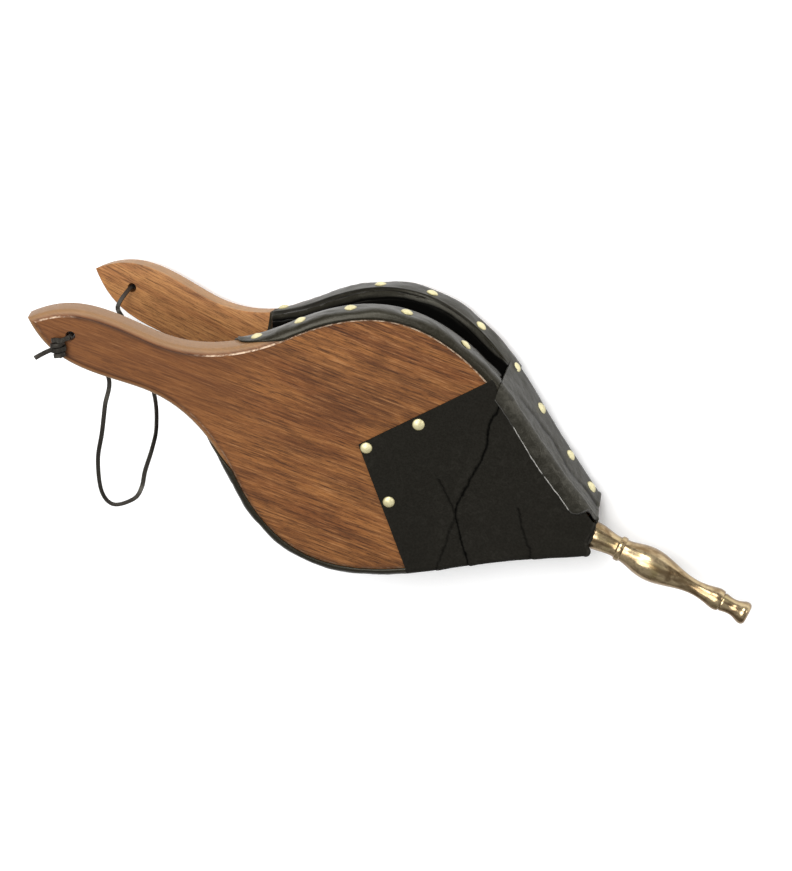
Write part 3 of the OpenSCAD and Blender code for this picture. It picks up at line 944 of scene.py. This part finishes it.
def make_hinge_strip():
    loose = 0.4  # between the strip and the rebate's sides
    us = np.linspace(HINGE_U - REBATE_BACK + loose, HINGE_U + REBATE_FRONT - loose, 24)
    share = np.linspace(-1, 1, 61)
    u = us[:, None] + 0 * share
    y = (STRIP_HALF - loose) * share + 0 * u
    top = BOARD_T - 0.05 + 0.04 * uneven(stack(u, y, 0), 6, 2, 3)
    obj = add_mesh("hinge_strip", on_top(u, y, top), grid(*u.shape, flip=True), 60)
    solidify(obj, 1.3)
    shares = 1 - smooth((u - (HINGE_U - 4)) / 8)
    finish(obj, "valve_leather", VALVE_HIDE, shares, "hinge_leather")


def side_height(u):
    """Height of the nose's side at u between its two rounded edges."""
    return 2 * (PIVOT_Z - EDGE_R) - DIP_SLOPE * np.maximum(u - HINGE_U, 0)


def wrap_section(u, reach, off):
    """(y, z) of the wrap at a distance reach from the middle line: under the nose, up its side and
    in over the face."""
    flat = side_y(u, EDGE_R)
    height = side_height(u)
    radius = EDGE_R + off
    s = np.abs(reach)
    low_turn = np.clip((s - flat) / QUARTER, 0, 1) * pi / 2
    rise = np.clip(s - flat - QUARTER, 0, height)
    high_turn = np.clip((s - flat - QUARTER - height) / QUARTER, 0, 1) * pi / 2
    over = np.maximum(s - flat - 2 * QUARTER - height, 0)
    inset = EDGE_R - radius * np.sin(low_turn) + radius * (1 - np.cos(high_turn)) + over
    y = np.where(s < flat, s, side_y(u, inset))
    z = -PIVOT_Z + EDGE_R - radius * np.cos(low_turn) + rise + radius * np.sin(high_turn)
    return np.sign(reach) * y, z


def make_wrap():
    half_cols = 118
    rear_u = 272  # the flap's rear edge at the lower board
    side_top = 8  # the other flap ends this far below the upper face
    pared = 1  # width of the pared edge
    collar, stand = 9.4, 2.4
    corner_rows = np.linspace(APRON_U + 0.2, rear_u, 44)
    rear_rows = np.linspace(rear_u, FLAP_U, 34)[1:]
    side_rows = np.linspace(FLAP_U, BOARD_LEN, 130)[1:]
    us = np.hstack([corner_rows, rear_rows, side_rows])[:, None]
    share = np.linspace(-1, 1, 2 * half_cols + 1)
    height = side_height(us)
    rise = np.clip((us - rear_u) / (FLAP_U - rear_u), 0, 1)
    ragged = 0.35 * uneven(stack(us, 0, 0), 6, 3, 4)
    # The flap comes in over the upper face; at the nose it is cut back to the corner.
    over_face = 2.4 + 1.4 * smooth((us - 296) / 28)
    shrink = smooth((us - 349) / 13) * (over_face + 0.7 * QUARTER)
    near_flap = 2 * QUARTER + height + over_face - shrink + ragged
    far_flap = 2 * QUARTER + height - side_top + ragged

    def laid(u):
        """How far round each place of the sheet is; the last column is the flap's pared edge."""
        corner = np.minimum((us - APRON_U) * APRON_SLOPE + 0.15, side_y(u, EDGE_R))
        plus = (corner + near_flap * rise - pared) * share
        minus = (corner + far_flap * rise) * share
        reach = np.where(share > 0, plus, minus)
        return np.hstack([reach, reach[:, -1:] + pared])

    flat_u = us + np.zeros(share.size + 1)
    y, z = wrap_section(flat_u, laid(us + 0 * share), LAYER)
    u = sloped(flat_u, z)
    reach = laid(u[:, :-1])
    y, z = wrap_section(u, reach, LAYER)
    # Where the sheet lies over other leather, by the distance past the side's upper edge.
    ridge_s = np.abs(reach) - side_y(u, EDGE_R) - QUARTER - side_height(u)
    plus = y > 0
    over_apron = smooth((ridge_s + 2) / 3) * plus * smooth((u - 276) / 5)
    over_band = smooth((279 - u) / 6) * smooth((PIVOT_Z + z) / 2)
    spot = stack(u, y, z)
    ripple = 0.45 * uneven(spot * (0.5, 1, 1), 16, 4, 6) + 0.22 * uneven(spot, 6, 3, 9)
    on_side = smooth((z + PIVOT_Z - 2) / 6)
    wander = -14 + 5 * uneven(stack(u, 0, 0), 30, 2, 11)
    valley = hump(ridge_s - wander, 2.2) * plus * smooth((u - 288) / 10)
    hold = hold_down(stack(TIP_X + u, y, z), "wrap_edge_tacks", "wrap_face_tacks")
    off = LAYER + 1.3 * over_apron + SECOND * over_band
    off = off + (1 - hold) * (np.maximum(ripple, -0.5) * (0.35 + 0.65 * on_side) - 0.6 * valley)
    off[:, -1] = off[:, -2] - 0.8
    y, z = wrap_section(u, reach, off)
    rest = stack(TIP_X + u, y, z)
    ends = nose_rows(rest[-1], collar, stand)
    sheet = np.vstack([rest, ends])
    cols = sheet.shape[1]
    obj = add_mesh("nose_wrap_leather", sheet, grid(len(sheet), cols), 60)
    pad = np.zeros(ends.shape[:2])
    near_ridge = hump(ridge_s - 4, 6) * hump(u - 290, 9) * plus
    worn_ridge = hump(ridge_s - 2, 3) * plus
    rub = 0.15 * near_ridge + 0.14 * worn_ridge
    # Painted highlight: the pared edge is pale along these stretches, where it catches the light.
    lit = ((u > 298) & (u < 325)) | ((u > 327.5) & (u < 349))
    # The valley gets painted shade.
    store(obj, rub=np.vstack([rub, pad + 0.1]), crease=np.vstack([0.45 * valley, pad]),
               lit=np.vstack([np.where(lit, 1, 0.08), pad]))
    solidify(obj, HIDE, rim=1)
    finish(obj, "apron_leather", WRAP_HIDE, "base", "nose_wrap")
    obj.data.materials.append(RAW_EDGE)
    for polygon in list(obj.data.polygons)[cols - 2:len(us) * (cols - 1):cols - 1]:
        polygon.material_index = 1


# ---- nozzle
def make_nozzle():
    """Brass turned round the X axis; distances run forward from the nose."""
    tenon = NOSE_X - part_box("nozzle")[0][0] / MM
    tenon_r, base_r, bore, seat = 6, 8.6, 3, 8
    base_len, fuller, count = 8, 1.05, 72  # past its base it is a little fuller
    key = (
        (0, base_r), (5, 8.5), (8, 8), (12, 6.9), (16, 6.4), (18.8, 6.5), (19, 7.1), (19.5, 7.5),
        (20.8, 7.65), (22.1, 7.5), (22.6, 7.1), (22.8, 6.8), (23.3, 6.8), (26, 7.2), (30, 8.2), (35, 9.4),
        (41, 9.9), (47, 9.4), (54, 7.8), (61, 6), (66, 5), (71, 4.5), (76, 4.7), (81, 5.5), (84.5, 6.3),
        (87, 6.6), (89.3, 6.3), (90, 5.9), (90.2, 5.3), (90.6, 5.25), (91, 5.6), (93, 5.2), (96, 4.8),
        (99, 5), (101.4, 5.8), (103.4, 6.6), (105, 6.9), (106.5, 6.6), (107.5, 5.8), (108, 4.6),
        (107.9, 3.7), (107.2, 3.05),
    )
    run = [tuple(p) for p in catmull([(x, r * (fuller if x > base_len else 1)) for x, r in key], 3)]
    run += [(x, bore) for x in (98, 60, 20, -tenon)] + [(-tenon, tenon_r), (-seat, tenon_r), (-seat, base_r)]
    points = [(NOSE_X + x, r * cos(a), r * sin(a)) for x, r in run for a in angles(count)]
    obj = add_mesh("nozzle_turned", points, grid(len(run), count, wrap=True, closed=True), 38)
    tidy(obj)
    shade_edges(obj.data, 38)
    finish(obj, "nozzle_brass", NOZZLE_BRASS, "base", "nozzle")


# ---- lace and knots
LACE_W, LACE_T = 2.9, 1.1


def ribbon(path, faces_to, twist=lambda share: 0):
    """Flat lace along a path. Its flat side faces a given way at each point, turned on by a twist."""
    corner = [(0.5, 0.2), (0.44, 0.46), (0.2, 0.5)]
    half = corner + [(-x, y) for x, y in corner[::-1]]
    section = half + [(x, -y) for x, y in half[::-1]]
    tangents = unit(np.gradient(path, axis=0))
    points = []
    for i, (p, t) in enumerate(zip(path, tangents)):
        normal = unit(np.cross(t, faces_to[i]))
        a = twist(i / (len(path) - 1))
        wide = normal * cos(a) + np.cross(t, normal) * sin(a)
        deep = np.cross(t, wide)
        points += [p + wide * x * LACE_W + deep * y * LACE_T for x, y in section]
    n = len(section)
    faces = grid(len(path), n, wrap=True)
    faces += [tuple(range(n))[::-1], tuple(range(len(points) - n, len(points)))]
    return points, faces


def make_lace():
    # Places along the loop, measured from the middle between the holes.
    loop = np.array([
        (10, -10, 36), (27, -30, 25), (31, -49, 24.5), (35, -67, 24), (39, -85, 25), (48, -104, 24),
        (58, -109.5, 22), (67, -103, 15), (68, -95, 11), (66, -84, 10), (63.5, -69, 5), (59, -57, -1),
        (47, -42, -10), (24, -23, -18), (10.5, -12.5, -21), (6, -9.5, -20), (0.5, -5, -22),
    ]) + (on_upper(HOLE_U, 0, 0) + on_lower(HOLE_U, 0, 0)) / 2
    ends = [on_upper(HOLE_U, 0, w) for w in (BOARD_T + 1, BOARD_T / 2, -3)]
    tail = [on_lower(HOLE_U, 0, w) for w in (-4, BOARD_T / 2, BOARD_T + 1)]
    steps = 10
    path = catmull(np.vstack([ends, loop, tail]), steps)
    run = lengths(path)
    share = run / run[-1]
    first, last = share[2 * steps], share[-2 * steps - 1]
    faces_to = np.tile(np.array(VIEW_BACK), (len(path), 1))
    points, faces = ribbon(path, faces_to, lambda s: 0.9 * sin(11 * s + 0.6) * sin(pi * s))
    obj = add_mesh("lace_loop", points, faces, 50)
    shares = 1 - smooth((share - first) / (last - first))
    finish(obj, "lace_leather", LACE_HIDE, np.repeat(shares, len(points) // len(path)), "hang_lace")


def make_knot(node, body, place, turn=0):
    """Knot beside the lace hole: close turns round a core on the handle's face, and a free tail."""
    first, last = np.array([-6.6, -3.6, 2.9]), np.array([-1.6, -14.6, 2.9])
    across, up = np.array([-0.916, -0.401, 0]), (0, 0, 1)
    per_turn, wide, tall = 10, 4, 2.7
    steps = int(3.6 * per_turn)
    run = [(0, 0, -4), (-0.3, -0.4, 1), (-2.6, -2.4, 2.8), (-4.6, -3.4, 4.8)]
    out = [(0.6, -0.8, 0.2), up, up, (0, 0.3, 1)]
    for k in range(steps):
        angle = pi / 2 - 2 * pi * k / per_turn
        swell = 1 - 0.18 * abs(2 * k / steps - 1)
        away = swell * (wide * cos(angle) * across + np.array([0, 0, tall * sin(angle)]))
        run.append(first + (last - first) * k / steps + 0.6 * across * sin(1.7 * k) + away)
        out.append(unit(away))
    run += [(-2.2, -15.2, 1.6), (-3.2, -11.6, 2.4), (-6.6, -11.1, 3), (-9.6, -13.7, 2.6),
            (-12.6, -17.3, 2.2), (-15.6, -20.9, 2.8)]
    out += [(0, -0.8, 0.6), up, up, up, up, up]
    turned = np.array(Matrix.Rotation(turn, 3, "Z")).T
    path = catmull(run, 6) @ turned + (HOLE_U, 0, BOARD_T)
    out = catmull(out, 6) @ turned
    world = place(*path.T)
    points, faces = ribbon(world, place(*(path + out).T) - world)
    finish(add_mesh(node + "_leather", points, faces, 50), "lace_leather", LACE_HIDE, body, node)


# ---- kept CAD pieces
def keep(node, material, bevel, grain_shift=None):
    """Gives a CAD node its material, broken edges and, for wood, its grain."""
    obj = frame["nodes"][node]
    obj.data.materials.clear()
    obj.data.materials.append(material)
    if grain_shift:
        points = np.array([v.co for v in obj.data.vertices])
        store(obj, grain=points + grain_shift)
    modify(obj, "broken_edges", "BEVEL", width=bevel * MM, segments=2, limit_method="ANGLE")


# ---- stage
def make_stage():
    half = 6000
    corners = [(-half, -half, 0), (half, -half, 0), (half, half, 0), (-half, half, 0)]
    floor = add_mesh("floor", corners, [(0, 1, 2, 3)])
    floor.location = (0, 0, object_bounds()[0].z - 0.0005)
    paper = Finish("pale_floor")
    patches = paper.noise(paper.place(), 3, 2, 0.55)
    tone = paper.ramp(patches, (0.3, (250, 250, 250)), (0.7, (253, 253, 253)))
    floor.data.materials.append(paper.set(Base_Color=tone, Roughness=0.9, Specular_IOR_Level=0.1,
                                          Emission_Color=(255, 255, 255), Emission_Strength=0.15))

    scene.world = bpy.data.worlds.new("studio")
    scene.world.use_nodes = True
    sky = scene.world.node_tree.nodes["Background"].inputs
    sky["Color"].default_value = (1, 1, 1, 1)
    sky["Strength"].default_value = 0.32
    aim = Vector((-0.22, 0, 0.02))
    for name, place, size, power in (("key", (-0.48, 1.05, 0.85), 0.45, 8.5),
                                     ("top", (-0.6, 0.35, 1.6), 1.2, 28), ("rim", (0.9, 0.8, 0.6), 0.4, 3)):
        light = add_object(name, bpy.data.lights.new(name, "AREA"))
        light.data.energy, light.data.size = power, size
        light.location = place
        light.rotation_euler = (aim - Vector(place)).to_track_quat("-Z", "Y").to_euler()

    camera = add_object("camera", bpy.data.cameras.new("camera"))
    turned = Matrix((VIEW_RIGHT, VIEW_UP, VIEW_BACK)).transposed().to_4x4()
    camera.matrix_world = Matrix.Translation((-0.0092, 0.5483, 1.2322)) @ turned
    camera.data.lens = 89.8
    camera.data.sensor_width = 36
    camera.data.clip_start = 0.01
    scene.camera = camera
    scene.view_settings.view_transform = "Standard"


# ---- build
make_boards()
make_gusset()
make_apron()
make_hinge_strip()
make_wrap()
make_nozzle()
make_tacks("edge_tacks_lower", "base")
make_tacks("edge_tacks_upper", "upper")
make_tacks("wrap_edge_tacks", "base", lean=0.28)
make_tacks("wrap_face_tacks", "base")
make_tacks("apron_tacks", "upper")
make_tacks("valve_tacks", "base", radius=2.4, height=0.9, stands=0.9)
make_lace()
make_knot("lace_knot_upper", "upper", on_upper)
make_knot("lace_knot_lower", "base", on_lower, radians(12))
keep("nose_block", WOOD_BARE, 0.6, (1, 0.3, 0.1))
keep("nose_screws", STEEL, 0.2)
keep("valve_flap", VALVE_HIDE, 0.4)
keep("valve_backing", WOOD_BARE, 0.3, (2, 0.1, 0.6))
make_stage()
